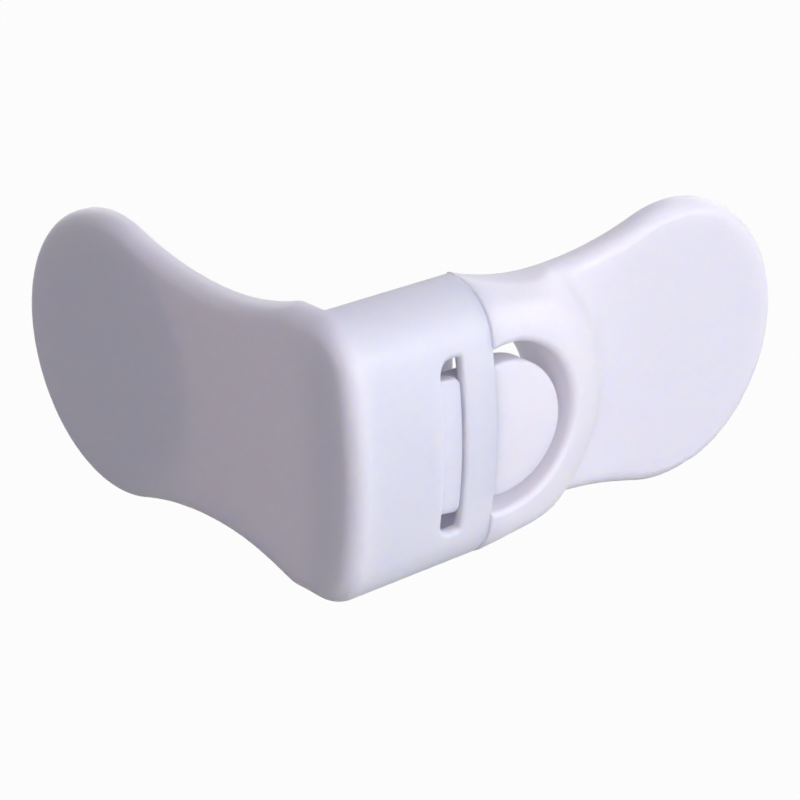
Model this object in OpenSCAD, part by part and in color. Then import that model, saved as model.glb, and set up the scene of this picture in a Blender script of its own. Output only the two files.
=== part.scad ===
// Corner safety lock for a drawer or cabinet door.
// A corner housing sticks to the drawer front, a plug sticks to the side of the cabinet,
// and a flexing tongue on the plug catches in a slot in the housing until its button is pressed.
// Millimetres. +X runs along the plug wing, +Y into the cabinet, +Z up.
// The origin is the middle of the plug pad's adhesive face, and everything is symmetric about Z = 0.

/* [Socket] */
// Length of the socket from the outer corner face to the seam
socket_len = 24; // [23.6:0.2:28]
// Height of the socket
socket_h = 40.2; // [39.6:0.2:41.6]
// Depth of both mouldings from the crowned front to the flat back
body_d = 10.7; // [10.6:0.1:12.4]
// Radius of the crowned front face
crown_r = 68; // [64:1:90]
// Radius of the long front edges
shoulder_r = 8.1; // [7.6:0.1:8.3]
// Radius of the long back edges
heel_r = 1.2; // [0.8:0.1:1.3]
// Wall round the front and the long edges
shell_wall = 1.6; // [1.4:0.1:1.8]
// Wall at the back of the socket
back_wall = 1.6; // [1.4:0.1:1.8]
// Rounding of the socket's open end
lip_r = 0.7; // [0.4:0.1:0.9]

/* [Slot] */
// Width of the catch slot
slot_w = 3.8; // [3.7:0.1:4.2]
// Height of the catch slot
slot_h = 24.4; // [22:0.2:26]
// Strip between the slot and the seam
slot_strip = 5.4; // [5:0.1:6]

/* [Wings] */
// Radius of each round paddle
paddle_r = 21.2; // [20:0.2:23]
// Half-height of each wing at its neck
neck_half_h = 17.2; // [16:0.2:18]
// Distance from the neck to the middle of the paddle
neck_gap = 25.6; // [24:0.2:28]
// Thickness of each wing
wing_t = 3.4; // [2.9:0.1:3.8]
// Rounding of a wing's outer edge
edge_r = 2.1; // [1.4:0.1:2.4]
// Rounding of a wing's inner edge
rim_r = 0.5; // [0.3:0.1:0.8]
// Distance from the front to the middle of the housing paddle
housing_reach = 56.4; // [54:0.2:64]
// Length of the straight corner block behind the front
block_len = 13.6; // [12.8:0.2:16]
// Radius of the hump where the block falls to the neck
hump_r = 5; // [3:0.5:8]
// Distance from the seam to the middle of the plug paddle
plug_reach = 40.6; // [40:0.2:48]

/* [Button ring] */
// Distance from the seam to the middle of the ring
ring_offset = 2.6; // [2.2:0.1:3]
// Distance from the seam to the middle of the button
button_offset = 2; // [1.6:0.1:2.4]
// Radius of the button
button_r = 9.55; // [9.3:0.05:9.8]
// Gap between the button and the ring, above and below
button_gap = 2.25; // [2:0.05:2.5]
// Rounding of the ring's inner edge
ring_edge_r = 1.6; // [0.8:0.1:2]
// Radius of the ring's crest
crest_r = 12; // [11.4:0.1:12.6]
// Depth of the crest behind the crowned front
crest_drop = 0.9; // [0.6:0.1:1.2]
// Radius of the ring's rounded flank
flank_r = 11; // [10:0.2:12]
// Radius of the hollow where the flank runs out on the wing
runout_r = 4.3; // [3.5:0.1:5]
// Rounding of the plug's end at the seam
plug_lip_r = 0.4; // [0.3:0.1:0.8]

/* [Plug nose] */
// Running clearance between the nose and the socket
fit = 0.25; // [0.15:0.05:0.3]
// Gap between the two halves at the seam
seam_gap = 0.25; // [0.2:0.05:0.5]
// Clearance between the tip of the nose and the end of the socket
nose_end_gap = 0.8; // [0.5:0.1:1.2]
// Half-height of the window between the nose's rails
window_half_h = 13.4; // [12.8:0.1:14]
// Lead-in chamfer at the tip of the nose
lead_in = 0.8; // [0.4:0.1:1]
// Length of the bar at the tip of the nose
tip_bar_len = 3.6; // [3.2:0.1:4]

/* [Tongue] */
// Clearance between the tongue's long edges and the front wall
tongue_gap = 0.4; // [0.3:0.05:0.5]
// Thickness of the tongue
tongue_t = 2.2; // [2:0.1:2.4]
// Half-height of the tongue's arm
tongue_half_h = 9.2; // [8.8:0.1:9.3]
// Radius of the bead at the tongue's root
bead_r = 1.2; // [1:0.05:1.3]
// Clearance between the bead and its seat
bead_fit = 0.05; // [0.03:0.01:0.08]
// Thickness of the tongue where it leaves its seat
root_t = 1.4; // [1.2:0.1:1.5]
// Length of the thin root
root_len = 1.3; // [1.1:0.1:1.5]
// Distance that the seat wraps past the middle of the bead
seat_wrap = 0.5; // [0.4:0.05:0.6]
// Lip of the seat in front of the bead, at mid-height
seat_lip = 1.5; // [1.4:0.1:1.6]
// Half-height of the barb
barb_half_h = 9.5; // [9.3:0.1:10]
// Depth of the barb's catching edge behind the crowned front
barb_drop = 0.5; // [0.4:0.05:0.7]
// Play between the barb and the slot's catching edge
barb_play = 0.4; // [0.38:0.02:0.5]
// Length of the barb's top
barb_top = 2.7; // [2.5:0.1:2.8]
// Fall of the barb's top towards its ramp
barb_fall = 0.5; // [0.4:0.05:0.6]
// Length of the barb's ramp
barb_ramp = 1.3; // [1.1:0.1:1.4]
// Rounding of the barb's ends
barb_end_r = 1; // [0.6:0.1:1.2]
// Depth of the button's face behind the crowned front
button_drop = 0.5; // [0.3:0.05:0.7]
// Chamfer of the button's front edge
button_edge = 0.5; // [0.3:0.1:0.8]

/* [Pads] */
// Diameter of each foam pad
pad_dia = 38; // [30:0.5:39]
// Thickness of each foam pad
pad_t = 1.3; // [1.2:0.1:1.6]
// Depth of the recess that locates a pad
pad_seat = 0.4; // [0.2:0.1:0.6]
// Clearance round a pad in its recess
pad_fit = 0.3; // [0.2:0.1:0.5]

/* [Hidden] */
$fn = 96;
// Overrun that carries every cut clear of the surface that it opens
overrun = 1;
// Steps along an arc of an outline, a fine one and a round edge
arc_steps = 8;
disc_steps = 20;
edge_steps = 4;
// Stations along and across the plug's front skin
skin_pitch = 1.6;
skin_columns = 24;
// Smallest angle of the skin's last station at the paddle's tip
tip_angle = 4;
// Softness of the line where the ring's flank meets the rounded front
blend = 0.6;
// Fillet inside the corner of the housing
inner_fillet = 2;
// Radius of the slot's corners
slot_corner_r = 2;

half_h = socket_h / 2;
pad_proud = pad_t - pad_seat;
back_y = -pad_proud;
crown_y = back_y - body_d;
seam_x = -plug_reach;
corner_x = seam_x - socket_len;
ring_x = seam_x + ring_offset;
button_x = seam_x + button_offset;
housing_paddle_y = crown_y + housing_reach;
housing_pad_x = corner_x + wing_t - pad_seat;

// Middle of the arc along the long front edges: depth behind the front, and height
shoulder_z = half_h - shoulder_r;
shoulder_d = crown_r - sqrt(pow(crown_r - shoulder_r, 2) - pow(shoulder_z, 2));
shoulder_angle = atan2(shoulder_z, crown_r - shoulder_d);

// Arc between a paddle and its neck, tangent to both
blend_r = (pow(neck_gap, 2) + pow(neck_half_h, 2) - pow(paddle_r, 2)) / (2 * (paddle_r - neck_half_h));
tangent_angle = atan2(neck_half_h + blend_r, -neck_gap);
tangent_x = paddle_r * cos(tangent_angle);

// Arc from a neck up to a height over a run
function rise_r(run, rise) = (pow(run, 2) + pow(rise, 2)) / (2 * rise);
neck_fall = half_h - neck_half_h;
plug_rise_r = rise_r(plug_reach - neck_gap, neck_fall);
// Housing: a hump and a hollow, tangent to each other, share the fall from the block to the neck
housing_neck_run = housing_reach - neck_gap - block_len;
housing_turn = 2 * atan2(neck_fall, housing_neck_run);
housing_rise_r = housing_neck_run / sin(housing_turn) - hump_r;

// Ring: angle at which the flank turns into the run-out, and where each ends
wing_drop = body_d - wing_t;
turn_angle = acos(1 - (wing_drop - crest_drop) / (flank_r + runout_r));
flank_end = crest_r + flank_r * sin(turn_angle);
runout_end = crest_r + (flank_r + runout_r) * sin(turn_angle);
hole_r = button_r + button_gap;

// Nose and tongue
socket_end_x = corner_x + wing_t;
nose_tip_x = socket_end_x + nose_end_gap;
nose_inset = shell_wall + fit;
nose_back_d = body_d - back_wall - fit;
bar_face_x = nose_tip_x + tip_bar_len;
bead_x = bar_face_x - seat_wrap;
tongue_sag = crown_r - sqrt(pow(crown_r, 2) - pow(tongue_half_h, 2));
tongue_d = shell_wall + tongue_sag + tongue_gap;
bead_y = crown_y + nose_inset + seat_lip + bead_r + bead_fit;
slot_right_x = seam_x - slot_strip;
slot_left_x = slot_right_x - slot_w;
catch_x = slot_right_x - barb_play;
root_end_x = bead_x + root_len;

function arc(c, r, from, to, steps) =
    [for (i = [0:steps]) let (a = from + (to - from) * i / steps) c + r * [cos(a), sin(a)]];
function mirrored(points) = [for (i = [len(points) - 1:-1:0]) [points[i][0], -points[i][1]]];
function middle(points) = [for (i = [1:len(points) - 2]) points[i]];
function after_first(points) = [for (i = [1:len(points) - 1]) points[i]];

// Rounded front half of the socket's section, inset, as [depth, height] from mid-height up
function front_arcs(inset) = concat(
    arc([crown_r, 0], crown_r - inset, 180, 180 - shoulder_angle, arc_steps / 2),
    arc([shoulder_d, shoulder_z], shoulder_r - inset, 180 - shoulder_angle, 90, arc_steps));

// Closed section of the socket, with rounded back edges
function section(inset) = let (
    half = concat(front_arcs(inset),
        arc([body_d - heel_r, half_h - heel_r], heel_r - inset, 90, 0, edge_steps)))
    concat(half, middle(concat([half[0]], mirrored(half))));

// Closed section of the hollow inside it, open to the back
function hollow(inset) = let (half = concat(front_arcs(inset), [[body_d, half_h - inset]]))
    concat(half, middle(concat([half[0]], mirrored(half))));

// Closed outline of the housing's wing seen from its outer side, as [depth, height]
function wing_outline() = let (
    neck_d = housing_reach - neck_gap,
    hump = arc([block_len, half_h - hump_r], hump_r, 90, 90 - housing_turn, edge_steps),
    fall_c = [neck_d, neck_half_h + housing_rise_r],
    fall = arc(fall_c, housing_rise_r, 270 - housing_turn, 270, arc_steps),
    rise_c = [neck_d, neck_half_h + blend_r],
    rise = arc(rise_c, blend_r, 270, 180 + tangent_angle, arc_steps),
    paddle = arc([housing_reach, 0], paddle_r, tangent_angle, 0, disc_steps),
    half = concat(front_arcs(0), hump, after_first(fall), middle(rise), paddle))
    concat(half, middle(mirrored(half)));

// Outline moved inward along its normals
function inset_outline(points, inset) = let (n = len(points))
    [for (i = [0:n - 1]) let (
        before = points[(i + n - 1) % n],
        after = points[(i + 1) % n],
        run = (after - before) / norm(after - before))
        points[i] + inset * [run[1], -run[0]]];

function at_x(points, x) = [for (p = points) [x, crown_y + p[0], p[1]]];

// Solid through a stack of rings with equal counts of points
module loft(rings) {
    n = len(rings[0]);
    last = len(rings) - 1;
    sides = [for (k = [0:last - 1]) for (i = [0:n - 1]) let (j = (i + 1) % n)
        each [[k * n + i, k * n + j, (k + 1) * n + j], [k * n + i, (k + 1) * n + j, (k + 1) * n + i]]];
    polyhedron(
        points = [for (ring = rings) each ring],
        faces = concat([[for (i = [n - 1:-1:0]) i]], sides, [[for (i = [0:n - 1]) last * n + i]]),
        convexity = 8);
}

// Cylinder along Y from a front depth to a back depth
module along_y(r, x, z, from, to) {
    translate([x, crown_y + from, z])
        rotate([-90, 0, 0])
            cylinder(h = to - from, r = r);
}

// Block between two corners
module block(low, high) {
    translate(low)
        cube(high - low);
}

module housing_wing() {
    outline = wing_outline();
    outer = [for (i = [0:edge_steps]) let (a = 90 * i / edge_steps)
        at_x(inset_outline(outline, edge_r * (1 - sin(a))), corner_x + edge_r * (1 - cos(a)))];
    inner = [for (i = [0:edge_steps / 2]) let (a = 180 * i / edge_steps)
        at_x(inset_outline(outline, rim_r * (1 - cos(a))), corner_x + wing_t - rim_r * (1 - sin(a)))];
    loft(concat(outer, inner));
}

module socket_shell() {
    start_x = corner_x + wing_t - rim_r;
    end_x = seam_x - seam_gap;
    lip = [for (i = [0:edge_steps]) let (a = 90 * i / edge_steps)
        at_x(section(lip_r * (1 - cos(a))), end_x - lip_r * (1 - sin(a)))];
    loft(concat([at_x(section(0), start_x)], lip));
}

module socket_hollow() {
    intersection() {
        loft([at_x(hollow(shell_wall), socket_end_x), at_x(hollow(shell_wall), seam_x + overrun)]);
        block([socket_end_x - overrun, crown_y, -half_h], [seam_x + overrun, back_y - back_wall, half_h]);
    }
}

module catch_slot() {
    through = shell_wall + 2 * overrun;
    from = [slot_left_x, crown_y - overrun, -slot_h / 2];
    to = [slot_right_x, crown_y + through, slot_h / 2];
    side = [slot_corner_r, 0, 0];
    end = [0, 0, slot_corner_r];
    block(from + side, to);
    block(from + end, to - end);
    for (z = [from[2] + slot_corner_r, to[2] - slot_corner_r])
        along_y(slot_corner_r, slot_left_x + slot_corner_r, z, -overrun, through);
}

module corner_fillet() {
    x = socket_end_x - rim_r;
    y = back_y - rim_r;
    reach = inner_fillet + rim_r;
    rise = half_h - heel_r - edge_r;
    difference() {
        block([x, y, -rise], [x + reach, y + reach, rise]);
        translate([x + reach, y + reach, -rise - overrun])
            cylinder(h = 2 * (rise + overrun), r = inner_fillet);
    }
}

module corner_housing() {
    color("#e9e9f4")
        difference() {
            union() {
                housing_wing();
                socket_shell();
                corner_fillet();
            }
            socket_hollow();
            catch_slot();
            translate([housing_pad_x, housing_paddle_y, 0])
                rotate([0, 90, 0])
                    cylinder(h = pad_seat + overrun, d = pad_dia + 2 * pad_fit);
        }
}

// Half-height of the plug at a place along it
function plug_half_h(x) =
    x >= tangent_x ? sqrt(pow(paddle_r, 2) - pow(x, 2)) :
    let (r = x >= -neck_gap ? blend_r : plug_rise_r)
        neck_half_h + r - sign(r) * sqrt(pow(r, 2) - pow(x + neck_gap, 2));

// Distance inward from the plug's outline
function plug_margin(x, z) =
    x >= tangent_x ? paddle_r - norm([x, z]) :
    let (r = x >= -neck_gap ? blend_r : plug_rise_r)
        sign(r) * norm([x + neck_gap, abs(z) - neck_half_h - r]) - r;

// Depth of the rounded front at a height
function front_depth(z) =
    abs(z) <= crown_r * sin(shoulder_angle) ? crown_r - sqrt(pow(crown_r, 2) - pow(z, 2)) :
    shoulder_d - sqrt(max(0, pow(shoulder_r, 2) - pow(abs(z) - shoulder_z, 2)));

// Depth of the ring at a distance from its middle: crest, rounded flank, run-out, wing
function ring_depth(r) =
    r <= crest_r ? crest_drop :
    r <= flank_end ? crest_drop + flank_r - sqrt(pow(flank_r, 2) - pow(r - crest_r, 2)) :
    r <= runout_end ? wing_drop - runout_r + sqrt(pow(runout_r, 2) - pow(runout_end - r, 2)) :
    wing_drop;

function soft_max(a, b) = (a + b + sqrt(pow(a - b, 2) + pow(blend, 2)) - blend) / 2;
// Drop of a rounded edge at a distance inward from it
function edge_drop(r, margin) =
    margin >= r ? 0 : r - sqrt(pow(r, 2) - pow(r - max(0, margin), 2));
function seam_drop(x) = edge_drop(plug_lip_r, x - seam_x);
function skin_depth(x, z) =
    let (ring = x > ring_x ? ring_depth(norm([x - ring_x, z])) : 0)
        min(wing_drop, soft_max(front_depth(z), ring)) + edge_drop(edge_r, plug_margin(x, z)) + seam_drop(x);

// One ring of the plug: its front skin across, then its flat back with rounded rims
function plug_ring(x) = let (h = plug_half_h(x) - seam_drop(x))
    concat(
        [for (j = [0:skin_columns]) let (z = h * sin(180 * j / skin_columns - 90))
            [x, crown_y + skin_depth(x, z), z]],
        [[x, back_y - rim_r, h], [x, back_y, h - rim_r], [x, back_y, rim_r - h], [x, back_y - rim_r, -h]]);

module plug_skin() {
    lip_x = seam_x + plug_lip_r;
    straight = ceil((tangent_x - lip_x) / skin_pitch);
    turn = tip_angle - tangent_angle;
    stations = concat(
        [for (i = [0:edge_steps - 1]) lip_x - plug_lip_r * cos(90 * i / edge_steps)],
        [for (i = [0:straight - 1]) lip_x + (tangent_x - lip_x) * i / straight],
        [for (i = [0:disc_steps]) paddle_r * cos(tangent_angle + turn * i / disc_steps)]);
    loft([for (x = stations) plug_ring(x)]);
}

// Rails and tip bar that slide into the socket, before the window between the rails is cut
module nose() {
    root_x = ring_x;
    intersection() {
        loft([
            at_x(hollow(nose_inset + lead_in), nose_tip_x),
            at_x(hollow(nose_inset), nose_tip_x + lead_in),
            at_x(hollow(nose_inset), root_x)]);
        block([nose_tip_x - overrun, crown_y, -half_h], [root_x + overrun, crown_y + nose_back_d, half_h]);
    }
}

module button_hole() {
    along_y(hole_r, ring_x, 0, -overrun, body_d + overrun);
    profile = concat(
        [[0, -overrun], [hole_r + ring_edge_r, -overrun]],
        arc([hole_r + ring_edge_r, crest_drop + ring_edge_r], ring_edge_r, 270, 180, edge_steps * 2),
        [[0, crest_drop + ring_edge_r]]);
    translate([ring_x, crown_y, 0])
        rotate([-90, 0, 0])
            rotate_extrude()
                polygon(profile);
}

module plug_body() {
    color("#ececf6")
        difference() {
            union() {
                plug_skin();
                nose();
            }
            button_hole();
            block([bar_face_x, crown_y - overrun, -window_half_h],
                [seam_x, back_y + overrun, window_half_h]);
            translate([bead_x, bead_y, -window_half_h])
                cylinder(h = 2 * window_half_h, r = bead_r + bead_fit);
            along_y(pad_dia / 2 + pad_fit, 0, 0, body_d - pad_seat, body_d + overrun);
        }
}

// Solid of a [length, depth] profile carried round the crown of the front
module round_crown(profile) {
    translate([0, crown_y + crown_r, 0])
        rotate([0, 90, 0])
            rotate_extrude()
                polygon([for (p = profile) [crown_r - p[1], p[0]]]);
}

module barb() {
    foot_d = tongue_d + tongue_t / 2;
    top_end_x = catch_x - barb_top;
    foot_x = top_end_x - barb_ramp;
    intersection() {
        round_crown([
            [catch_x, foot_d], [catch_x, barb_drop], [top_end_x, barb_drop + barb_fall],
            [foot_x, tongue_d], [foot_x, foot_d]]);
        union() {
            block([foot_x - overrun, crown_y, -barb_half_h],
                [catch_x - barb_end_r, crown_y + foot_d, barb_half_h]);
            block([foot_x - overrun, crown_y, barb_end_r - barb_half_h],
                [catch_x + overrun, crown_y + foot_d, barb_half_h - barb_end_r]);
            for (side = [-1, 1])
                along_y(barb_end_r, catch_x - barb_end_r, side * (barb_half_h - barb_end_r), 0, foot_d);
        }
    }
}

// Disc with a chamfered edge, its face crowned like the front, cut off at the seam
module button() {
    back_d = tongue_d + tongue_t;
    profile = [
        [0, 0], [button_r - button_edge - button_drop, 0], [button_r, button_drop + button_edge],
        [button_r, back_d], [0, back_d]];
    intersection() {
        translate([button_x, crown_y, 0])
            rotate([-90, 0, 0])
                rotate_extrude()
                    polygon(profile);
        translate([seam_x, crown_y + crown_r, 0])
            rotate([0, 90, 0])
                cylinder(h = button_offset + button_r + overrun, r = crown_r - button_drop);
    }
}

module latch_tongue() {
    color("#efeff8")
        union() {
            translate([bead_x, bead_y, -tongue_half_h])
                cylinder(h = 2 * tongue_half_h, r = bead_r);
            block([bead_x, bead_y - root_t / 2, -tongue_half_h],
                [root_end_x + tongue_t / 2, bead_y + root_t / 2, tongue_half_h]);
            block([root_end_x, crown_y + tongue_d, -tongue_half_h],
                [button_x, crown_y + tongue_d + tongue_t, tongue_half_h]);
            barb();
            button();
        }
}

module housing_pad() {
    color("#f4f3ee")
        translate([housing_pad_x, housing_paddle_y, 0])
            rotate([0, 90, 0])
                cylinder(h = pad_t, d = pad_dia);
}

module plug_pad() {
    color("#f4f3ee")
        translate([0, -pad_t, 0])
            rotate([-90, 0, 0])
                cylinder(h = pad_t, d = pad_dia);
}

corner_housing();
plug_body();
latch_tongue();
housing_pad();
plug_pad();
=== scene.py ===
import math

import bmesh
import bpy
import numpy as np
from mathutils import Matrix, Vector


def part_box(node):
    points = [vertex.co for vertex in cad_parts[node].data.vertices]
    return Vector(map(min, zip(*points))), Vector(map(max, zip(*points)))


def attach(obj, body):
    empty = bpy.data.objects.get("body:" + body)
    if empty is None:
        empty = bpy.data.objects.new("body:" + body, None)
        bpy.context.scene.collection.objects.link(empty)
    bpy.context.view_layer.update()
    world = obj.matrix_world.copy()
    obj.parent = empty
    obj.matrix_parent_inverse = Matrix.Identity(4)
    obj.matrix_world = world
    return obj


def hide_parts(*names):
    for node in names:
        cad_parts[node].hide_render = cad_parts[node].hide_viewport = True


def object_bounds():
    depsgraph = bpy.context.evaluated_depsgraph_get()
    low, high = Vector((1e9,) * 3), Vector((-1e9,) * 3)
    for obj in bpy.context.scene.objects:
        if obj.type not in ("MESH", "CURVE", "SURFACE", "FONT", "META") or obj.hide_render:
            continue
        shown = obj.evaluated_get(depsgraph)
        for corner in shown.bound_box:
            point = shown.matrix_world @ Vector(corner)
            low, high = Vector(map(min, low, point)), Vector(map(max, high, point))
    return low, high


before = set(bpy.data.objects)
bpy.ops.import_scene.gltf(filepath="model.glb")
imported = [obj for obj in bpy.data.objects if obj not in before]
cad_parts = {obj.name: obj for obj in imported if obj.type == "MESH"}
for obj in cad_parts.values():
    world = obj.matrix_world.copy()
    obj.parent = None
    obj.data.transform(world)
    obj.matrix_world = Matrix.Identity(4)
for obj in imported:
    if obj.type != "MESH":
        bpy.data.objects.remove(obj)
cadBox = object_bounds()
scene = bpy.context.scene
mm = 0.001  # sizes below are millimetres, meshes are metres

# Sizes that both mouldings share: depth front to back, half-height, the radii of their edges and outlines, and the
# seat of a pad. A flared cut starts above the skin by mouthLift, so that no sliver is left. Meshes have points
# about every step, and edges sharper than sharpAngle stay hard.
moulding = {
    "depth": 10.7, "halfH": 20.1, "crownR": 68.0, "shoulderR": 8.1, "heelR": 1.2,
    "wingT": 3.4, "edgeR": 2.1, "rimR": 0.5,
    "paddleR": 21.2, "neckHalfH": 17.2, "neckGap": 25.6,
    "padR": 19.0, "padSeat": 0.4, "padFit": 0.3,
    "mouthLift": 0.006, "step": 0.5, "sharpAngle": 30.0,
}
depth, halfH, crownR = moulding["depth"], moulding["halfH"], moulding["crownR"]
shoulderR, heelR = moulding["shoulderR"], moulding["heelR"]
wingT, edgeR, rimR = moulding["wingT"], moulding["edgeR"], moulding["rimR"]
paddleR, neckHalfH, neckGap = moulding["paddleR"], moulding["neckHalfH"], moulding["neckGap"]
step = moulding["step"]
recessR = moulding["padR"] + moulding["padFit"]

housingLow = np.array(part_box("corner_housing")[0]) / mm
cornerX, crownY = housingLow[0], housingLow[1]
backY = crownY + depth

# Arc along the long front edges, tangent to the crown and to the top
shoulderZ = halfH - shoulderR
shoulderD = crownR - math.sqrt((crownR - shoulderR) ** 2 - shoulderZ ** 2)
shoulderTurn = math.degrees(math.atan2(shoulderZ, crownR - shoulderD))
# Arc between a paddle and its neck, tangent to both
blendR = (neckGap ** 2 + neckHalfH ** 2 - paddleR ** 2) / (2 * (paddleR - neckHalfH))
paddleTurn = math.degrees(math.atan2(neckHalfH + blendR, -neckGap))


# Turn from 0 to 90 degrees, in radians, for a rounded edge
def quarter(count):
    return np.radians(np.linspace(0, 90, count))


# S-curve from 0 to 1: 3 k^2 - 2 k^3
def eased(k):
    k = np.clip(k, 0, 1)
    return k * k * (3 - 2 * k)


# Points of an arc by angle: centre + radius (cos, sin)
def arc(centre, radius, start, stop, count=96):
    a = np.radians(np.linspace(start, stop, count))
    return np.stack([centre[0] + radius * np.cos(a), centre[1] + radius * np.sin(a)], 1)


# The same line with points at an even pitch of its own length
def evenly(line, pitch):
    run = np.concatenate([[0], np.cumsum(np.linalg.norm(np.diff(line, axis=0), axis=1))])
    keep = np.concatenate([[True], np.diff(run) > 1e-9])
    at = np.linspace(0, run[-1], int(round(run[-1] / pitch)) + 1)
    return np.stack([np.interp(at, run[keep], line[keep, i]) for i in range(2)], 1)


# Upper half of an outline, from the axis round to the axis, closed by its mirror image
def closeLoop(half):
    return np.concatenate([half, half[-2:0:-1] * [1, -1]])


# Unit normals of a closed loop: its tangent turned a quarter left
def outward(loop):
    t = np.roll(loop, -1, 0) - np.roll(loop, 1, 0)
    n = np.stack([-t[:, 1], t[:, 0]], 1)
    return n / np.linalg.norm(n, axis=1, keepdims=True)


# Corners of a closed loop rounded by a running mean over a reach, taken twice
def softened(loop, pitch, reach):
    ring = evenly(np.concatenate([loop, loop[:1]]), pitch)[:-1]
    span = max(1, int(round(reach / pitch)))
    for _ in range(2):
        ring = sum(np.roll(ring, k, 0) for k in range(-span, span + 1)) / (2 * span + 1)
    return ring


# Drop of a rounded edge at a distance inward: r - sqrt(r^2 - (r - margin)^2)
def roundDrop(radius, margin):
    m = np.clip(margin, 0, radius)
    return radius - np.sqrt(radius ** 2 - (radius - m) ** 2)


# Depth of the crown's arc at a height
def crownDepth(z):
    return crownR - np.sqrt(crownR ** 2 - z ** 2)


# Depth of the rounded front at a height: crown arc in the middle, shoulder arc outside it
def frontDepth(z):
    z = np.abs(z)
    crown = crownDepth(np.minimum(z, halfH))
    shoulder = shoulderD - np.sqrt(np.maximum(0, shoulderR ** 2 - (z - shoulderZ) ** 2))
    return np.where(z <= crownR * math.sin(math.radians(shoulderTurn)), crown, shoulder)


# Front of the section as (depth, height), mid-height up, moved inward
def frontArcs(inset):
    return np.concatenate([
        arc((crownR, 0), crownR - inset, 180, 180 - shoulderTurn),
        arc((shoulderD, shoulderZ), shoulderR - inset, 180 - shoulderTurn, 90)])


# Section of the room inside the front, inset, with a flat back
def innerLoop(inset, back, pitch=0.3):
    half = np.concatenate([frontArcs(inset), [[depth, halfH - inset]]])
    half[:, 0] = np.minimum(half[:, 0], back)
    half = np.concatenate([half, [[back, 0]]])
    return closeLoop(evenly(half, pitch))


# Loop of a rectangle with its own radius at the low end and the high end of the first axis
def cornerLoop(low, high, lowR, highR, pitch=0.2, count=24):
    (u0, v0), (u1, v1) = low, high
    line = np.concatenate([
        arc((u0 + lowR, v0 + lowR), lowR, 270, 180, count), arc((u0 + lowR, v1 - lowR), lowR, 180, 90, count),
        arc((u1 - highR, v1 - highR), highR, 90, 0, count), arc((u1 - highR, v0 + highR), highR, 0, -90, count)])
    return evenly(np.concatenate([line, line[:1]]), pitch)[:-1]


# Mesh of a grid of points, rows by columns. A wrapped grid closes row to row, caps close a tube's two ends,
# and a seam cap joins the first row to the last. Points that meet are merged, so that the surface is closed.
def solidFrom(name, grid, wrap=True, caps=False, seamCap=False):
    rows, columns = grid.shape[:2]
    index = np.arange(rows * columns).reshape(rows, columns)
    band = np.concatenate([index, index[:1]]) if wrap else index
    faces = np.stack([band[:-1, :-1], band[1:, :-1], band[1:, 1:], band[:-1, 1:]], -1).reshape(-1, 4).tolist()
    if caps:
        faces += [index[:, 0].tolist(), index[::-1, -1].tolist()]
    if seamCap:
        faces += [np.concatenate([index[0], index[-1][::-1]]).tolist()]
    mesh = bpy.data.meshes.new(name)
    mesh.from_pydata((grid.reshape(-1, 3) * mm).tolist(), [], faces)
    bm = bmesh.new()
    bm.from_mesh(mesh)
    bmesh.ops.remove_doubles(bm, verts=bm.verts, dist=1e-7)
    bmesh.ops.recalc_face_normals(bm, faces=bm.faces)
    bm.to_mesh(mesh)
    bm.free()
    piece = bpy.data.objects.new(name, mesh)
    scene.collection.objects.link(piece)
    return piece


# Rings of equal count stacked along one axis become a capped tube
def tubeFrom(name, rings):
    return solidFrom(name, np.stack(rings, 1), caps=True)


# A (depth, height) loop set at a place along X
def atX(loop, x):
    return np.stack([x + 0 * loop[:, 0], crownY + loop[:, 0], loop[:, 1]], 1)


# A (radius, height) profile that starts and ends on the axis, turned about a line through centre
def turned(name, profile, centre, axis, count=160):
    a = np.linspace(0, 2 * np.pi, count, endpoint=False)[:, None]
    r, h = profile[:, 0], profile[:, 1]
    u, v, w = r * np.cos(a), r * np.sin(a), np.broadcast_to(h, (count, len(h)))
    order = {"x": (w, u, v), "y": (u, w, v), "z": (u, v, w)}[axis]
    return solidFrom(name, np.stack(order, -1) + np.array(centre))


# One solid cut from, or joined to, another
def combine(piece, tool, operation):
    cut = piece.modifiers.new("cut", "BOOLEAN")
    cut.operation, cut.solver, cut.object = operation, "MANIFOLD", tool
    bpy.context.view_layer.update()
    made = bpy.data.meshes.new_from_object(piece.evaluated_get(bpy.context.evaluated_depsgraph_get()))
    piece.modifiers.clear()
    old = piece.data
    piece.data = made
    bpy.data.meshes.remove(old)
    bpy.data.objects.remove(tool)
    return piece


# Smooth shading with hard lines only at steep edges, then the piece takes its node's place on its body
def dress(piece, material, body, slot, *nodes):
    piece.data.materials.clear()
    piece.data.materials.append(material)
    piece.data.shade_smooth()
    piece.data.set_sharp_from_angle(angle=math.radians(moulding["sharpAngle"]))
    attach(piece, body)
    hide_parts(*nodes)
    print(piece.name, "made:", len(piece.data.polygons), "faces")
    return piece


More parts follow.
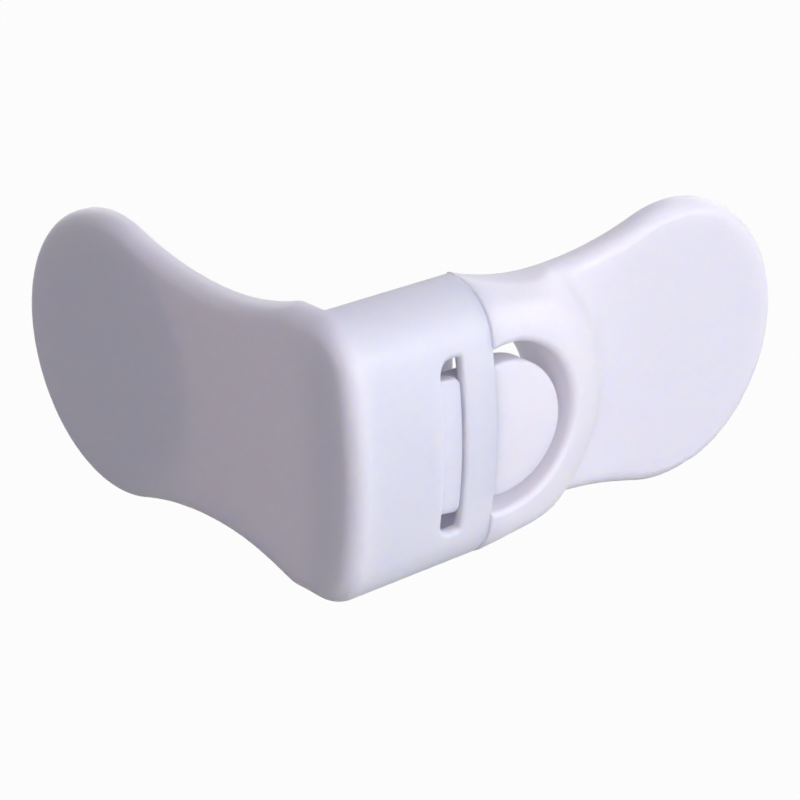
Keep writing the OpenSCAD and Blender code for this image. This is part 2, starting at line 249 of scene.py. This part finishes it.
# Fine moulded grain: slow mottling of tint and gloss, and a fine bump height
def grainGroup():
    group = bpy.data.node_groups.new("mouldedGrain", "ShaderNodeTree")
    face = group.interface
    for label, kind, value in (
            ("Tint", "NodeSocketColor", (0.8, 0.8, 0.9, 1)), ("Shade", "NodeSocketColor", (0.75, 0.75, 0.85, 1)),
            ("Mottle Scale", "NodeSocketFloat", 60.0), ("Grain Scale", "NodeSocketFloat", 2500.0),
            ("Gloss Low", "NodeSocketFloat", 0.38), ("Gloss High", "NodeSocketFloat", 0.5)):
        face.new_socket(label, in_out="INPUT", socket_type=kind).default_value = value
    face.new_socket("Color", in_out="OUTPUT", socket_type="NodeSocketColor")
    face.new_socket("Roughness", in_out="OUTPUT", socket_type="NodeSocketFloat")
    face.new_socket("Height", in_out="OUTPUT", socket_type="NodeSocketFloat")
    nodes, links = group.nodes, group.links
    inlet, outlet = nodes.new("NodeGroupInput"), nodes.new("NodeGroupOutput")
    place = nodes.new("ShaderNodeTexCoord")
    mottle, grain = nodes.new("ShaderNodeTexNoise"), nodes.new("ShaderNodeTexNoise")
    mottle.inputs["Detail"].default_value, grain.inputs["Detail"].default_value = 3.0, 2.0
    tint = nodes.new("ShaderNodeMix")
    tint.data_type = "RGBA"
    gloss = nodes.new("ShaderNodeMapRange")
    links.new(place.outputs["Object"], mottle.inputs["Vector"])
    links.new(place.outputs["Object"], grain.inputs["Vector"])
    links.new(inlet.outputs["Mottle Scale"], mottle.inputs["Scale"])
    links.new(inlet.outputs["Grain Scale"], grain.inputs["Scale"])
    links.new(mottle.outputs["Fac"], tint.inputs["Factor"])
    links.new(inlet.outputs["Tint"], tint.inputs["A"])
    links.new(inlet.outputs["Shade"], tint.inputs["B"])
    links.new(grain.outputs["Fac"], gloss.inputs["Value"])
    links.new(inlet.outputs["Gloss Low"], gloss.inputs["To Min"])
    links.new(inlet.outputs["Gloss High"], gloss.inputs["To Max"])
    links.new(tint.outputs["Result"], outlet.inputs["Color"])
    links.new(gloss.outputs["Result"], outlet.inputs["Roughness"])
    links.new(grain.outputs["Fac"], outlet.inputs["Height"])
    return group


grain = grainGroup()
finishes = {
    "satinAbs": {"tint": (0.85, 0.84, 0.955), "shade": (0.825, 0.815, 0.93), "mottle": 45.0, "grain": 2600.0,
                 "gloss": (0.40, 0.52), "bump": 0.10, "bumpDepth": 0.00003, "scatter": 1.0, "scatterMm": 4.2},
    "foamTape": {"tint": (0.84, 0.82, 0.76), "shade": (0.74, 0.72, 0.66), "mottle": 160.0, "grain": 1800.0,
                 "gloss": (0.82, 0.95), "bump": 0.45, "bumpDepth": 0.00012, "scatter": 0.0, "scatterMm": 1.0},
}
# Share of the scattering depth that red, green and blue light reach
scatterShares = (1.0, 0.85, 0.55)


# A finish: the grain group into the shader's colour, roughness and bump, and light that scatters inside
def makeFinish(name):
    s = finishes[name]
    material = bpy.data.materials.new(name)
    material.use_nodes = True
    nodes, links = material.node_tree.nodes, material.node_tree.links
    shader = nodes["Principled BSDF"]
    texture, bump = nodes.new("ShaderNodeGroup"), nodes.new("ShaderNodeBump")
    texture.node_tree = grain
    texture.inputs["Tint"].default_value = (*s["tint"], 1)
    texture.inputs["Shade"].default_value = (*s["shade"], 1)
    texture.inputs["Mottle Scale"].default_value = s["mottle"]
    texture.inputs["Grain Scale"].default_value = s["grain"]
    texture.inputs["Gloss Low"].default_value, texture.inputs["Gloss High"].default_value = s["gloss"]
    bump.inputs["Strength"].default_value, bump.inputs["Distance"].default_value = s["bump"], s["bumpDepth"]
    shader.inputs["Subsurface Weight"].default_value = s["scatter"]
    shader.inputs["Subsurface Scale"].default_value = s["scatterMm"] * mm
    shader.inputs["Subsurface Radius"].default_value = scatterShares
    links.new(texture.outputs["Color"], shader.inputs["Base Color"])
    links.new(texture.outputs["Roughness"], shader.inputs["Roughness"])
    links.new(texture.outputs["Height"], bump.inputs["Height"])
    links.new(bump.outputs["Normal"], shader.inputs["Normal"])
    return material


satinAbs, foamTape = makeFinish("satinAbs"), makeFinish("foamTape")
print("finishes made:", ", ".join(finishes))

# The corner's rounder edge fades out over cornerFade up to cornerEnd behind the front, the wing's faces fan out from a
# spine that starts at fanStart, and wallHide and socketSink lap wing and socket
housing = {
    "socketLen": 24.0, "reach": 56.4, "blockLen": 13.6, "humpR": 5.0, "fanStart": 10.7,
    "cornerR": 2.6, "cornerEnd": 18.0, "cornerFade": 7.0, "wallHide": 0.3, "socketSink": 0.05,
    "shellWall": 1.6, "backWall": 1.6, "lipR": 0.35, "seamGap": 0.1, "innerFillet": 2.0,
    "slotW": 3.8, "slotH": 24.4, "slotStrip": 5.4, "slotLeftR": 2.0, "slotRightR": 0.4,
    "slotEdgeR": 0.5, "slotEndR": 1.0,
    "edgeCount": 12, "faceCount": 34, "wallCount": 4, "socketCount": 19, "lipCount": 9, "filletCount": 16,
}
seamX = cornerX + housing["socketLen"]
socketEndX = cornerX + wingT
overrun = 1.0  # how far a cutting solid passes what it cuts


# Outline of the housing's wing as (depth, height): front arcs, straight block, a hump and a hollow arc that
# share the fall to the neck, the arc up to the paddle, and the paddle's own round
def wingLoop():
    reach, block = housing["reach"], housing["blockLen"]
    neckD = reach - neckGap
    run, rise = neckD - block, halfH - neckHalfH
    turn = 2 * math.atan2(rise, run)
    humpR = housing["humpR"]
    riseR = run / math.sin(turn) - humpR
    turn = math.degrees(turn)
    half = np.concatenate([
        frontArcs(0),
        arc((block, halfH - humpR), humpR, 90, 90 - turn),
        arc((neckD, neckHalfH + riseR), riseR, 270 - turn, 270),
        arc((neckD, neckHalfH + blendR), blendR, 270, 180 + paddleTurn),
        arc((reach, 0), paddleR, paddleTurn, 0)])
    return closeLoop(evenly(half, step))


# Wing plate: columns run from the spine over the outer face, round the edge, along the wall, round the rim
# and back over the inner face. The edge is rounder at the corner block than at the wing, and in front
# the wall draws in so that it lies inside the socket.
def wingPlate():
    s = housing
    loop = wingLoop()
    n = outward(loop)
    e = edgeR + (s["cornerR"] - edgeR) * eased((s["cornerEnd"] - loop[:, :1]) / s["cornerFade"])
    spine = np.stack([np.clip(loop[:, 0], s["fanStart"], s["reach"]), 0 * loop[:, 0]], 1)
    a = quarter(s["edgeCount"])[:, None, None]
    t = np.linspace(0, 1, s["faceCount"])[:, None, None]
    edge = loop - e * n
    hide = s["wallHide"] * np.clip(depth - heelR - loop[:, :1], 0, 1) * n
    wall = np.linspace(0, 1, s["wallCount"])[1:-1, None, None]
    rim = loop - hide - rimR * (1 - np.cos(a)) * n
    across = np.concatenate([spine + t[:-1] * (edge - spine), loop - e * (1 - np.sin(a)) * n,
                             loop - wall * hide, rim, rim[-1] + t[1:] * (spine - rim[-1])])
    x = np.concatenate([0 * t[:-1] * e, e * (1 - np.cos(a)), e + wall * (wingT - rimR - e),
                        wingT - rimR * (1 - np.sin(a)) + 0 * e, wingT + 0 * t[1:] * e])[..., 0]
    grid = np.stack([cornerX + x, crownY + across[..., 0], across[..., 1]], -1)
    return solidFrom("cornerHousing", grid.transpose(1, 0, 2))


# Socket: the section carried along X, its open end rounded
def socketTube():
    s = housing
    half = np.concatenate([frontArcs(0), arc((depth - heelR, halfH - heelR), heelR, 90, 0), [[depth, 0]]])
    loop = closeLoop(evenly(half, step))
    n = outward(loop)
    end, lipR = seamX - s["seamGap"], s["lipR"]
    along = np.linspace(cornerX + s["cornerR"] - s["socketSink"], end - lipR, s["socketCount"])
    stations = [(x, 0) for x in along[:-1]]
    stations += [(end - lipR * (1 - np.sin(a)), lipR * (1 - np.cos(a))) for a in quarter(s["lipCount"])]
    return tubeFrom("socket", [atX(loop - inset * n, x) for x, inset in stations])


# Fillet inside the corner: two flats and the hollow arc between them, carried along Z
def cornerFillet():
    r = housing["innerFillet"]
    x, y = socketEndX - rimR, backY - rimR
    reach, rise = r + rimR, halfH - heelR - edgeR
    hollow = arc((x + reach, y + reach), r, 270, 180, housing["filletCount"])
    line = np.concatenate([[[x, y], [x + reach, y]], hollow, [[x, y + reach]]])
    return tubeFrom("fillet", [np.column_stack([line, np.full(len(line), z)]) for z in (-rise, rise)])


# Catch slot: its outline follows the crowned front inward, flared by a quarter round at the mouth, wider at its ends
def slotTool():
    s = housing
    right = seamX - s["slotStrip"]
    low, high = (right - s["slotW"], -s["slotH"] / 2), (right, s["slotH"] / 2)
    loop = cornerLoop(low, high, s["slotLeftR"], s["slotRightR"])
    n = outward(loop)
    r = s["slotEdgeR"] + (s["slotEndR"] - s["slotEdgeR"]) * n[:, 1:] ** 2
    stations = [(0 * r - overrun, r)]
    stations += [(r * (1 - math.cos(a)) - moulding["mouthLift"], r * (1 - math.sin(a))) for a in quarter(s["lipCount"])]
    stations += [(0 * r + s["shellWall"] + overrun, 0 * r)]
    return tubeFrom("slotTool", [np.column_stack([p[:, 0], crownY + frontDepth(p[:, 1]) + down[:, 0], p[:, 1]])
                                 for down, spread in stations for p in [loop + spread * n]])


# Flat-ended drum along an axis, for a recess
def drumTool(radius, low, high, centre, axis):
    return turned("drumTool", np.array([[0, low], [radius, low], [radius, high], [0, high]]), centre, axis)


def makeHousing():
    s = housing
    piece = wingPlate()
    combine(piece, socketTube(), "UNION")
    combine(piece, cornerFillet(), "UNION")
    inner = innerLoop(s["shellWall"], depth - s["backWall"])
    combine(piece, tubeFrom("socketRoom", [atX(inner, x) for x in (socketEndX, seamX + overrun)]), "DIFFERENCE")
    combine(piece, slotTool(), "DIFFERENCE")
    combine(piece, drumTool(recessR, wingT - moulding["padSeat"], wingT + overrun,
                            (cornerX, crownY + s["reach"], 0), "x"), "DIFFERENCE")
    return dress(piece, satinAbs, "housing", "satin_abs", "corner_housing")


makeHousing()

# The ring rises out of the rounded front over ringFade, the nose's corners are rounded over noseSoft, and its lead-in
# bends at the share leadBend of its length
plug = {
    "ringOffset": 2.6, "holeR": 11.8, "ringEdgeR": 1.1, "crestR": 12.0, "crestDrop": 0.9,
    "flankR": 11.0, "runoutR": 4.3, "ringFade": 2.0, "lipR": 0.25, "blend": 0.6,
    "fit": 0.25, "noseEndGap": 0.8, "nosePitch": 0.15, "noseSoft": 0.3, "leadIn": 0.8, "leadBend": 0.3,
    "windowHalfH": 13.4, "windowR": 0.6, "tipBarLen": 3.6, "beadX": 7.3, "beadD": 4.6, "seatR": 1.25,
    "lipCount": 6, "edgeCount": 10, "frontCount": 64, "wallCount": 4, "backCount": 22,
    "wellCount": 200, "flareCount": 14,
}
plugX = 0.0  # middle of the paddle
ringX = seamX + plug["ringOffset"]
plugRun, plugRise = -neckGap - seamX, halfH - neckHalfH
plugRiseR = (plugRun ** 2 + plugRise ** 2) / (2 * plugRise)
tangentX = paddleR * math.cos(math.radians(paddleTurn))
wingDrop = depth - wingT


# Half-height of the plug along X: the paddle's round, or the arc on either side of the neck
def plugHalfH(x):
    r = np.where(x >= -neckGap, blendR, plugRiseR)
    arcs = neckHalfH + r - np.sqrt(np.maximum(0, r ** 2 - (x + neckGap) ** 2))
    return np.where(x >= tangentX, np.sqrt(np.maximum(0, paddleR ** 2 - x ** 2)), arcs)


# Distance inward from the plug's outline
def plugMargin(x, z):
    r = np.where(x >= -neckGap, blendR, plugRiseR)
    arcs = np.hypot(x + neckGap, np.abs(z) - neckHalfH - r) - r
    return np.where(x >= tangentX, paddleR - np.hypot(x, z), arcs)


# Depth of the ring by its distance from its middle: crest, rounded flank, hollow run-out, wing
def ringDepth(r):
    s = plug
    turn = math.acos(1 - (wingDrop - s["crestDrop"]) / (s["flankR"] + s["runoutR"]))
    flankEnd = s["crestR"] + s["flankR"] * math.sin(turn)
    runoutEnd = s["crestR"] + (s["flankR"] + s["runoutR"]) * math.sin(turn)
    past, left = np.maximum(0, r - s["crestR"]), np.maximum(0, runoutEnd - r)
    flank = s["crestDrop"] + s["flankR"] - np.sqrt(np.maximum(0, s["flankR"] ** 2 - past ** 2))
    runout = wingDrop - s["runoutR"] + np.sqrt(np.maximum(0, s["runoutR"] ** 2 - left ** 2))
    return np.where(r <= flankEnd, flank, runout)


# Depth of the plug's skin: the deeper of rounded front and ring, blended, no deeper than the wing, edges rounded
def skinDepth(x, z):
    ring = eased((x - ringX) / plug["ringFade"]) * ringDepth(np.hypot(x - ringX, z))
    front = frontDepth(z)
    k = plug["blend"]
    deeper = (front + ring + np.sqrt((front - ring) ** 2 + k ** 2) - k) / 2
    return np.minimum(wingDrop, deeper) + roundDrop(edgeR, plugMargin(x, z)) + roundDrop(plug["lipR"], x - seamX)


# Plug skin: rows go round the outline from the seam's top to its foot, columns from the spine over the front,
# round the edge, along the wall, round the rim and back over the flat back
def plugSkin():
    s = plug
    lipR = s["lipR"]
    lip = seamX + lipR * (1 - np.cos(quarter(s["lipCount"])[:-1]))
    side = np.linspace(seamX + lipR, tangentX, int((tangentX - seamX) / step))
    x = np.concatenate([lip, side])
    paddle = arc((plugX, 0), paddleR, paddleTurn, 0, int(paddleR * math.radians(paddleTurn) / step))
    upper = np.concatenate([np.stack([x, plugHalfH(x) - roundDrop(lipR, x - seamX)], 1), paddle[1:]])
    line = np.concatenate([upper, upper[-2::-1] * [1, -1]])
    spine = np.stack([np.minimum(line[:, 0], 0), 0 * line[:, 0]], 1)
    n = (line - spine) / np.linalg.norm(line - spine, axis=1, keepdims=True)
    a = quarter(s["edgeCount"])[:, None, None]
    t = np.linspace(0, 1, s["frontCount"])[:, None, None]
    edge, rim = line - edgeR * n, line - rimR * (1 - np.cos(a)) * n
    front = np.concatenate([spine + t[:-1] * (edge - spine), line - edgeR * (1 - np.sin(a)) * n])
    y = crownY + skinDepth(front[..., 0], front[..., 1])
    wall = np.linspace(0, 1, s["wallCount"])[1:-1, None]
    inward = np.linspace(0, 1, s["backCount"])[1:, None, None]
    back = np.concatenate([rim, rim[-1] + inward * (spine - rim[-1])])
    backRow = np.concatenate([backY - rimR * (1 - np.sin(a)), backY + 0 * inward])[..., 0]
    across = np.concatenate([front, np.broadcast_to(line, (len(wall), *line.shape)), back])
    y = np.concatenate([y, y[-1] + wall * (backY - rimR - y[-1]), np.broadcast_to(backRow, back.shape[:2])])
    grid = np.stack([across[..., 0], y, across[..., 1]], -1)
    return solidFrom("plugBody", grid.transpose(1, 0, 2), wrap=False, seamCap=True)


# Nose: the socket's room less the running fit, carried along X, with a lead-in at its tip
def noseTube():
    s = plug
    tip, inset = socketEndX + s["noseEndGap"], housing["shellWall"] + s["fit"]
    back = depth - housing["backWall"] - s["fit"]
    bend = s["leadIn"] * s["leadBend"]
    stations = [(tip, s["leadIn"]), (tip + bend, bend), (tip + s["leadIn"], 0), (ringX, 0)]
    loop = softened(innerLoop(inset, back), s["nosePitch"], s["noseSoft"])
    middle = np.array([(inset + back) / 2, 0])
    nose = tubeFrom("nose", [atX(middle + (loop - middle) * (1 - draw / (halfH - inset)), x) for x, draw in stations])
    low, high = (tip + s["tipBarLen"], -s["windowHalfH"]), (ringX + overrun, s["windowHalfH"])
    window = cornerLoop(low, high, s["windowR"], s["windowR"])
    combine(nose, tubeFrom("window", [np.stack([window[:, 0], y + 0 * window[:, 0], window[:, 1]], 1)
                                      for y in (crownY - overrun, backY + overrun)]), "DIFFERENCE")
    return combine(nose, drumTool(s["seatR"], -s["windowHalfH"], s["windowHalfH"],
                                  (cornerX + s["beadX"], crownY + s["beadD"], 0), "z"), "DIFFERENCE")


# Button well: a through bore whose mouth flares out by a quarter round, laid on the skin all the way round
def wellTool():
    s = plug
    turn = np.linspace(0, 2 * np.pi, s["wellCount"], endpoint=False)[:, None]
    a = quarter(s["flareCount"])
    r = s["holeR"] + s["ringEdgeR"] * (1 - np.sin(a))
    x, z = ringX + r * np.cos(turn), r * np.sin(turn)
    d = skinDepth(x, z) + s["ringEdgeR"] * (1 - np.cos(a)) - moulding["mouthLift"]
    x, z = (np.concatenate([v[:, :1], v, v[:, -1:]], 1) for v in (x, z))
    d = np.concatenate([0 * d[:, :1] - overrun, d, 0 * d[:, :1] + depth + overrun], 1)
    return solidFrom("wellTool", np.stack([x, crownY + d, z], -1), caps=True)


def makePlug():
    piece = plugSkin()
    combine(piece, noseTube(), "UNION")
    combine(piece, wellTool(), "DIFFERENCE")
    combine(piece, drumTool(recessR, depth - moulding["padSeat"], depth + overrun,
                            (plugX, crownY, 0), "y"), "DIFFERENCE")
    return dress(piece, satinAbs, "plug", "satin_abs", "plug_body")


makePlug()

tongue = {
    "faceD": 2.625, "thick": 2.2, "halfH": 9.2, "edgeR": 0.3,
    "buttonOffset": 2.0, "buttonR": 9.55, "buttonDrop": 0.5, "buttonEdgeR": 0.55,
    "beadR": 1.2, "rootT": 1.4, "rootLen": 1.3,
    "barbHalfH": 9.5, "barbDrop": 0.5, "barbPlay": 0.4, "barbTop": 2.7, "barbFall": 0.5, "barbRamp": 1.3,
    "barbEndR": 1.0, "barbEdgeR": 0.3,
    "discCount": 180, "faceCount": 12, "edgeCount": 9, "backCount": 6,
    "barbCount": 81, "rampCount": 10, "catchCount": 8,
}
buttonX = seamX + tongue["buttonOffset"]


# Button: a disc with a crowned face, a rounded front edge and a flat back
def buttonDisc():
    s = tongue
    r, e, b = s["buttonR"], s["buttonEdgeR"], s["edgeR"]
    low, high = s["buttonDrop"], s["faceD"] + s["thick"]
    face = np.linspace(0, r - e, s["faceCount"])[:-1]
    rear = np.linspace(r - b, 0, s["faceCount"])[1:]
    profile = np.concatenate([
        np.column_stack([face, low + 0 * face]), arc((r - e, low + e), e, 270, 360, s["edgeCount"]),
        arc((r - b, high - b), b, 0, 90, s["backCount"]), np.column_stack([rear, high + 0 * rear])])
    a = np.linspace(0, 2 * np.pi, s["discCount"], endpoint=False)[:, None]
    x, z = buttonX + profile[:, 0] * np.cos(a), profile[:, 0] * np.sin(a)
    crown = crownDepth(z) * (high - profile[:, 1]) / (high - low)
    return solidFrom("latchTongue", np.stack([x, crownY + profile[:, 1] + crown, z], -1))


# Flat bar along X with rounded long edges
def flatBar(name, low, high, front, back, half):
    loop = cornerLoop((front, -half), (back, half), tongue["edgeR"], tongue["edgeR"])
    return tubeFrom(name, [atX(loop, x) for x in (low, high)])


# Barb: a ramp, a top that rises to a rounded catching edge, carried along Z round the crowned front.
# Towards its ends the catching face draws back by a quarter round and the top falls by another.
def barbSolid():
    s = tongue
    catch = seamX - housing["slotStrip"] - s["barbPlay"]
    foot, h, e = s["faceD"] + s["thick"] / 2, s["barbHalfH"], s["barbEdgeR"]
    z = h * np.sin(np.radians(np.linspace(-90, 90, s["barbCount"])))[:, None]
    draw = roundDrop(s["barbEndR"], h - np.abs(z))
    top = s["barbDrop"] + crownDepth(z) + roundDrop(e, h - np.abs(z))
    a = quarter(s["catchCount"])[::-1]
    left = catch - s["barbTop"] - s["barbRamp"]
    k = np.linspace(0, 1, s["rampCount"])
    x = np.concatenate([np.broadcast_to(left + k * s["barbRamp"], (len(z), len(k))),
                        catch - draw - e + e * np.cos(a), catch - draw, left + 0 * z], 1)
    d = np.concatenate([s["faceD"] + k * (2 - k) * (top + s["barbFall"] - s["faceD"]), top + e * (1 - np.sin(a)),
                        foot + 0 * z, foot + 0 * z], 1)
    grid = np.stack([x, crownY + d, np.broadcast_to(z, x.shape)], -1)
    return solidFrom("barb", grid.transpose(1, 0, 2), caps=True)


def makeTongue():
    s = tongue
    beadX, beadD = cornerX + plug["beadX"], plug["beadD"]
    rootEnd = beadX + s["rootLen"]
    piece = buttonDisc()
    combine(piece, flatBar("leftOfSeam", buttonX - s["buttonR"] - overrun, seamX, -overrun, depth,
                           s["buttonR"] + overrun), "DIFFERENCE")
    combine(piece, flatBar("arm", rootEnd, buttonX, s["faceD"], s["faceD"] + s["thick"], s["halfH"]), "UNION")
    combine(piece, flatBar("root", beadX, rootEnd + s["thick"] / 2, beadD - s["rootT"] / 2, beadD + s["rootT"] / 2,
                           s["halfH"]), "UNION")
    combine(piece, drumTool(s["beadR"], -s["halfH"], s["halfH"], (beadX, crownY + beadD, 0), "z"), "UNION")
    combine(piece, barbSolid(), "UNION")
    return dress(piece, satinAbs, "tongue", "satin_abs", "latch_tongue")


makeTongue()

pad = {
    "thick": 1.3, "film": 0.12, "filmInset": 0.02, "filmChamfer": 0.03, "bulge": 0.12,
    "discCount": 220, "faceCount": 18, "edgeCount": 11,
}


# Foam pad: a disc between two thin films with chamfered rims, the foam's cut edge swelling between them
def foamPad(name, centre, axis, low, body, node):
    s = pad
    r, t, film, c = moulding["padR"], s["thick"], s["film"], s["filmChamfer"]
    k = np.linspace(0, 1, s["edgeCount"])
    swell = (r - s["bulge"]) + s["bulge"] * np.sin(np.pi * k)
    edge = np.column_stack([swell, film + k * (t - 2 * film)])
    filmR = r - s["filmInset"]
    face = np.linspace(0, filmR - c, s["faceCount"])
    profile = np.concatenate([
        np.column_stack([face, 0 * face]), [[filmR, c], [filmR, film - c]], edge,
        [[filmR, t - film + c], [filmR, t - c]], np.column_stack([face[::-1], t + 0 * face])])
    piece = turned(name, profile + [0, low], centre, axis, s["discCount"])
    dress(piece, foamTape, body, "foam_tape", node)
    return piece


foamPad("housingPad", (cornerX, crownY + housing["reach"], 0), "x", wingT - moulding["padSeat"],
        "housing", "housing_pad")
foamPad("plugPad", (plugX, crownY, 0), "y", depth - moulding["padSeat"], "plug", "plug_pad")

# Camera at the photograph's place: millimetres, degrees from +Y towards +X, below the horizon and of roll, and
# pixels of focal length and of width. The clip distances are metres.
viewpoint = {
    "place": (-227.71, -214.24, 124.14), "azimuth": 40.032, "fall": 23.35, "roll": 0.29,
    "focal": 2305.5, "width": 800.0, "sensor": 36.0, "clip": (0.01, 50.0),
}
camera = bpy.data.objects.new("camera", bpy.data.cameras.new("camera"))
scene.collection.objects.link(camera)
turnA, turnE, turnR = (math.radians(viewpoint[k]) for k in ("azimuth", "fall", "roll"))
ahead = Vector((math.sin(turnA) * math.cos(turnE), math.cos(turnA) * math.cos(turnE), -math.sin(turnE)))
level = Vector((math.cos(turnA), -math.sin(turnA), 0))
below = ahead.cross(level)
across = level * math.cos(turnR) + below * math.sin(turnR)
upright = level * math.sin(turnR) - below * math.cos(turnR)
camera.location = Vector(viewpoint["place"]) * mm
camera.rotation_euler = Matrix((across, upright, -ahead)).transposed().to_euler()
camera.data.sensor_width = viewpoint["sensor"]
camera.data.lens = viewpoint["focal"] / viewpoint["width"] * camera.data.sensor_width
camera.data.clip_start, camera.data.clip_end = viewpoint["clip"]
scene.camera = camera

# The studio in metres and watts. The eye sees the floor as floorWhite parts of glow and the rest of lit paper,
# which keeps the shadow. A lamp is a square, lampSpread times its distance wide.
studio = {
    "floorSize": 6.0, "floorColor": 0.2, "floorRough": 0.9, "floorWhite": 0.97, "floorGlow": 1.0,
    "sky": (0.235, 0.22, 0.285), "lampSpread": 0.6,
}
lamps = {
    "front": {"from": (0, -1, 0.15), "distance": 0.9, "watts": 4.3, "color": (0.88, 0.89, 1.0)},
    "frontRight": {"from": (0.62, -0.76, 0.25), "distance": 0.9, "watts": 2.95, "color": (0.99, 1.0, 0.92)},
    "frontLeft": {"from": (-0.6, -0.8, 0.15), "distance": 0.9, "watts": 1.05, "color": (1.0, 0.95, 0.77)},
    "nearLeft": {"from": (-0.55, -0.8, 0.3), "distance": 0.3, "watts": 0.15, "color": (1.0, 0.93, 0.97)},
    "back": {"from": (0.2, 0.92, 0.35), "distance": 0.9, "watts": 1.5, "color": (0.96, 1.0, 0.95)},
    "backRight": {"from": (0.85, 0.38, 0.36), "distance": 0.9, "watts": 2.2, "color": (0.98, 0.96, 1.0)},
}


# White for the eye and for reflections, plain light for everything else
def eyeMask(nodes, links):
    path = nodes.new("ShaderNodeLightPath")
    first, both = nodes.new("ShaderNodeMath"), nodes.new("ShaderNodeMath")
    first.operation = both.operation = "MAXIMUM"
    links.new(path.outputs["Is Camera Ray"], first.inputs[0])
    links.new(path.outputs["Is Glossy Ray"], first.inputs[1])
    links.new(first.outputs[0], both.inputs[0])
    links.new(path.outputs["Is Transmission Ray"], both.inputs[1])
    return both


# Pale paper at the object's foot
def makeFloor():
    half = studio["floorSize"] / 2
    ground = float(cadBox[0].z)
    mesh = bpy.data.meshes.new("floor")
    mesh.from_pydata([(-half, -half, ground), (half, -half, ground), (half, half, ground), (-half, half, ground)],
                     [], [(0, 1, 2, 3)])
    floor = bpy.data.objects.new("floor", mesh)
    scene.collection.objects.link(floor)
    paper = bpy.data.materials.new("palePaper")
    paper.use_nodes = True
    nodes, links = paper.node_tree.nodes, paper.node_tree.links
    shader = nodes["Principled BSDF"]
    shader.inputs["Base Color"].default_value = (*[studio["floorColor"]] * 3, 1)
    shader.inputs["Roughness"].default_value = studio["floorRough"]
    glow, mix, share = nodes.new("ShaderNodeEmission"), nodes.new("ShaderNodeMixShader"), nodes.new("ShaderNodeMath")
    share.operation = "MULTIPLY"
    share.inputs[1].default_value = studio["floorWhite"]
    links.new(eyeMask(nodes, links).outputs[0], share.inputs[0])
    glow.inputs["Strength"].default_value = studio["floorGlow"]
    links.new(share.outputs[0], mix.inputs["Fac"])
    links.new(shader.outputs[0], mix.inputs[1])
    links.new(glow.outputs[0], mix.inputs[2])
    links.new(mix.outputs[0], nodes["Material Output"].inputs["Surface"])
    floor.data.materials.append(paper)


# White backdrop to the eye, soft even light to the object
def makeSky():
    world = bpy.data.worlds.new("softSky")
    scene.world = world
    world.use_nodes = True
    nodes, links = world.node_tree.nodes, world.node_tree.links
    nodes.clear()
    soft, white = nodes.new("ShaderNodeBackground"), nodes.new("ShaderNodeBackground")
    mix, out = nodes.new("ShaderNodeMixShader"), nodes.new("ShaderNodeOutputWorld")
    soft.inputs["Color"].default_value = (*studio["sky"], 1)
    white.inputs["Color"].default_value = (1, 1, 1, 1)
    links.new(eyeMask(nodes, links).outputs[0], mix.inputs["Fac"])
    links.new(soft.outputs[0], mix.inputs[1])
    links.new(white.outputs[0], mix.inputs[2])
    links.new(mix.outputs[0], out.inputs["Surface"])


# Square soft lamp that faces the object from a direction
def softLamp(name):
    s = lamps[name]
    lamp = bpy.data.objects.new(name, bpy.data.lights.new(name, "AREA"))
    scene.collection.objects.link(lamp)
    towards = Vector(s["from"]).normalized()
    lamp.location = towards * s["distance"] + Vector((cornerX / 2 * mm, 0, 0))
    lamp.rotation_euler = (-towards).to_track_quat("-Z", "Y").to_euler()
    lamp.data.size = studio["lampSpread"] * s["distance"]
    lamp.data.energy, lamp.data.color = s["watts"], s["color"]


makeFloor()
makeSky()
for lampName in lamps:
    softLamp(lampName)
scene.view_settings.view_transform = "Standard"
print("studio made")
